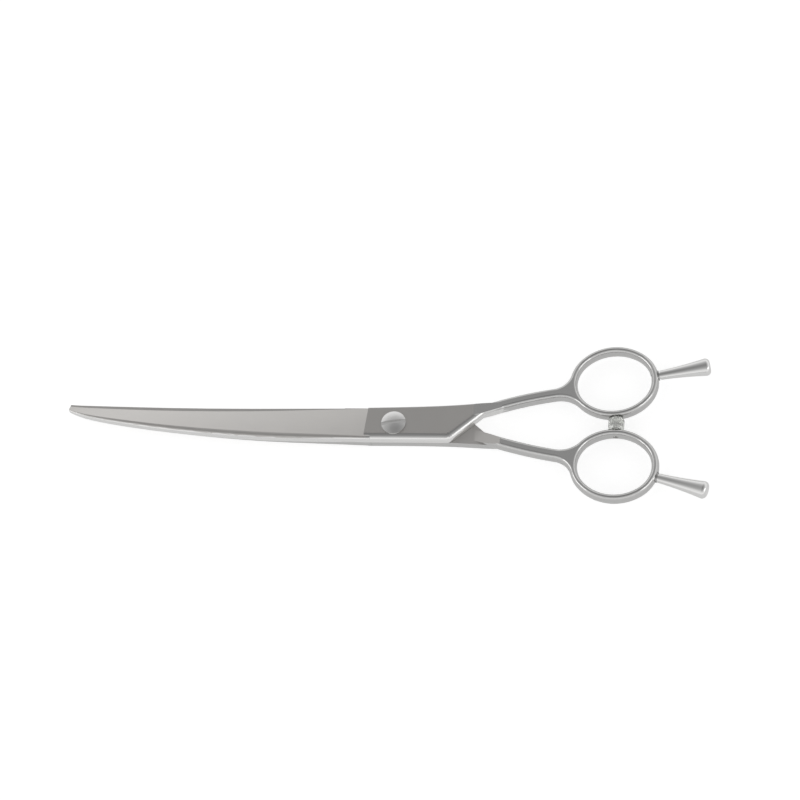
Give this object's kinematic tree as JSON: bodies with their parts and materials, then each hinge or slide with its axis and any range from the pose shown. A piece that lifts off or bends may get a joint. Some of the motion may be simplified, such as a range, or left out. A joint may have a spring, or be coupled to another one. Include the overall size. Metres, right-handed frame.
{
  "type": "hair cutting shears",
  "caption": "Curved barber shears: two pivoting steel halves with oval finger rings, slotted tension screw, screwed finger rests and a bumper.",
  "frame": {"origin": "on the pivot axis, in the plane of the back plate's outer face, on which the closed shears lie", "axes": "+X along the handles to the finger rings, +Y to the front half's ring, +Z out of the pivot screw's slotted head"},
  "size_m": [0.2217, 0.0584, 0.008],
  "materials": {
    "satin_steel": "satin plate, ground blade and polished shanks and rings, stainless steel",
    "turned_steel": "turned steel with fine concentric marks",
    "spring_steel": "thin spring steel",
    "white_ptfe": "white low-friction plastic",
    "clear_nylon": "pale translucent nylon",
    "polished_steel": "mirror-polished stainless steel"
  },
  "bodies": {
    "back": {"back_half": "satin_steel", "bearing_washer": "white_ptfe", "bumper": "clear_nylon", "bumper_screw": "turned_steel", "lock_ring_back": "spring_steel", "finger_rest_back": "polished_steel"},
    "front": {"front_half": "satin_steel", "lock_ring_front": "spring_steel", "finger_rest_front": "polished_steel"},
    "washer": {"tension_washer": "spring_steel"},
    "screw": {"pivot_screw": "turned_steel"}
  },
  "joints": [
    {"name": "blade_pivot", "type": "hinge", "parent": "back", "child": "front", "pos_m": [0, 0, 0.00335], "axis": [0, 0, 1], "range_deg": [0, 148]},
    {"name": "washer_lift", "type": "slide", "parent": "back", "child": "washer", "axis": [0, 0, 1], "range_m": [0, 0.0007]},
    {"name": "screw_turn", "type": "hinge", "parent": "washer", "child": "screw", "pos_m": [0, 0, 0.0072], "axis": [0, 0, 1], "range_deg": [0, 360]}
  ],
  "couplings": [
    {"joint": "screw_turn", "follows": "washer_lift", "rad_per_m": 8976}
  ]
}
